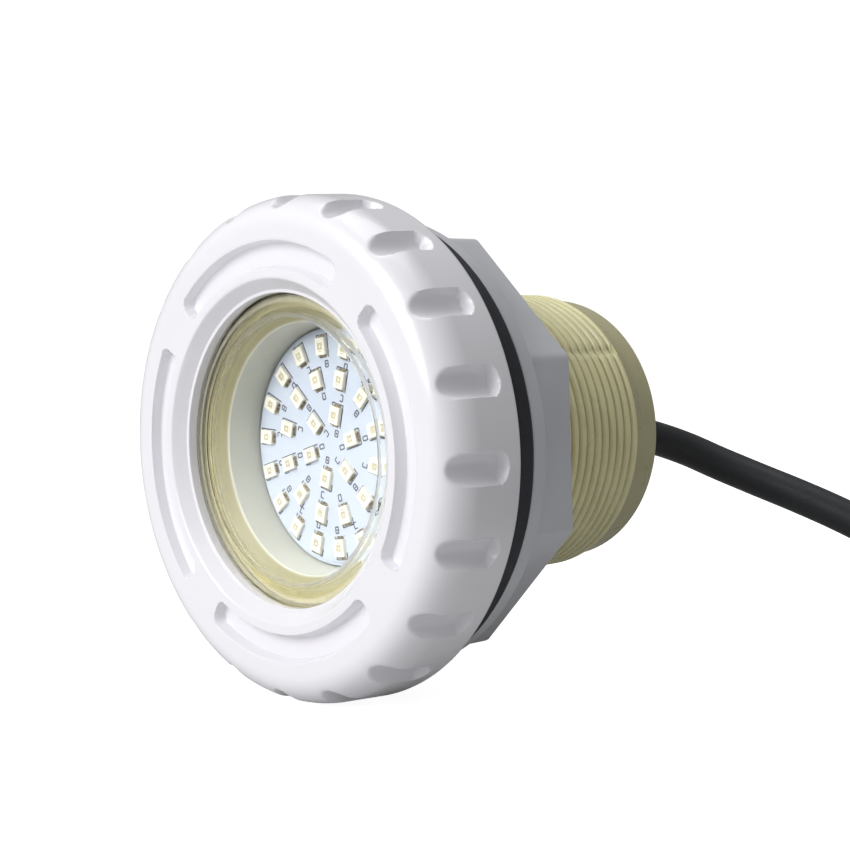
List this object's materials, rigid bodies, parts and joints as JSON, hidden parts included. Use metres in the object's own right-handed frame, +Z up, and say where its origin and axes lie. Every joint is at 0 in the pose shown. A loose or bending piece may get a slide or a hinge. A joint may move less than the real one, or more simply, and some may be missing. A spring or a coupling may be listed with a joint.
{
  "type": "underwater pool light",
  "caption": "Round underwater pool light with a fluted face ring, clear lens over an LED board, wall gasket, octagonal flange nut, threaded conduit and rubber lead.",
  "frame": {"origin": "on the lamp's axis, in the plane where the wall gasket meets the pool wall", "axes": "+Y along the axis from the lens to the conduit's end, +Z up, +X to the right seen from the front"},
  "size_m": [0.2276, 0.1462, 0.0992],
  "materials": {
    "ring_white": "moulded gloss white",
    "lens_clear": "clear moulded polycarbonate",
    "body_cream": "moulded cream-olive, semi-matt",
    "nut_grey": "moulded grey, fine texture",
    "seal_rubber": "matt black rubber",
    "washer_white": "low-friction white plastic",
    "board_white": "white solder mask",
    "led_package": "white package with a tan window",
    "spreader": "machined",
    "pillar_brass": "turned",
    "driver_green": "green solder mask",
    "part_black": "moulded black",
    "capacitor_sleeve": "printed sleeve, blank",
    "fuse_ceramic": "glazed",
    "wire_red": "insulation",
    "gland_black": "moulded nylon",
    "screw_steel": "satin",
    "lead_black": "smooth matt sheath",
    "tie_black": "woven strap",
    "core_brown": "insulation with a tinned end",
    "core_blue": "insulation with a tinned end"
  },
  "bodies": {
    "housing": {"lens": "lens_clear", "lens_o_ring": "seal_rubber", "insert_o_ring": "seal_rubber", "niche_body": "body_cream", "wall_gasket": "seal_rubber", "lamp_cup": "body_cream", "led_board": "board_white", "led_array": "led_package", "heat_sink": "spreader", "pillar_1": "pillar_brass", "pillar_2": "pillar_brass", "pillar_3": "pillar_brass", "driver_board": "driver_green", "bridge_rectifier": "part_black", "controller_chip": "part_black", "inductor": "part_black", "capacitor_1": "capacitor_sleeve", "capacitor_2": "capacitor_sleeve", "fuse": "fuse_ceramic", "link_wire_red": "wire_red", "link_wire_black": "part_black", "lamp_back_cover": "body_cream", "cover_screw_1": "screw_steel", "cover_screw_2": "screw_steel", "cover_screw_3": "screw_steel", "gland_body": "gland_black", "gland_seal": "seal_rubber", "cable_inlet": "lead_black", "cable": "lead_black", "cable_coil": "lead_black", "coil_tie": "tie_black", "core_brown": "core_brown", "core_blue": "core_blue"},
    "ring_carrier": {"slip_ring": "washer_white"},
    "face_ring": {"face_ring": "ring_white"},
    "nut_carrier": {"nut_slip_washer": "washer_white"},
    "flange_nut": {"flange_nut": "nut_grey"},
    "gland_carrier": {"gland_claw": "washer_white", "bend_sleeve": "seal_rubber"},
    "gland_nut": {"gland_nut": "gland_black"}
  },
  "joints": [
    {"name": "ring_travel", "type": "slide", "parent": "housing", "child": "ring_carrier", "axis": [0, -1, 0], "range_m": [0, 0.012]},
    {"name": "ring_turn", "type": "hinge", "parent": "ring_carrier", "child": "face_ring", "pos_m": [0, -0.016, 0], "axis": [0, -1, 0], "range_deg": [0, 1440]},
    {"name": "nut_travel", "type": "slide", "parent": "housing", "child": "nut_carrier", "axis": [0, 1, 0], "range_m": [0, 0.04618]},
    {"name": "nut_turn", "type": "hinge", "parent": "nut_carrier", "child": "flange_nut", "pos_m": [0, 0.008, 0], "axis": [0, 1, 0], "range_deg": [0, 7200]},
    {"name": "gland_travel", "type": "slide", "parent": "housing", "child": "gland_carrier", "axis": [0, 1, 0], "range_m": [0, 0.006]},
    {"name": "gland_turn", "type": "hinge", "parent": "gland_carrier", "child": "gland_nut", "pos_m": [0, 0.04, 0], "axis": [0, 1, 0], "range_deg": [0, 1440]}
  ],
  "couplings": [
    {"joint": "ring_travel", "follows": "ring_turn", "m_per_rad": 0.00047746},
    {"joint": "nut_travel", "follows": "nut_turn", "m_per_rad": 0.00036748},
    {"joint": "gland_turn", "follows": "gland_travel", "rad_per_m": 4188.8}
  ]
}
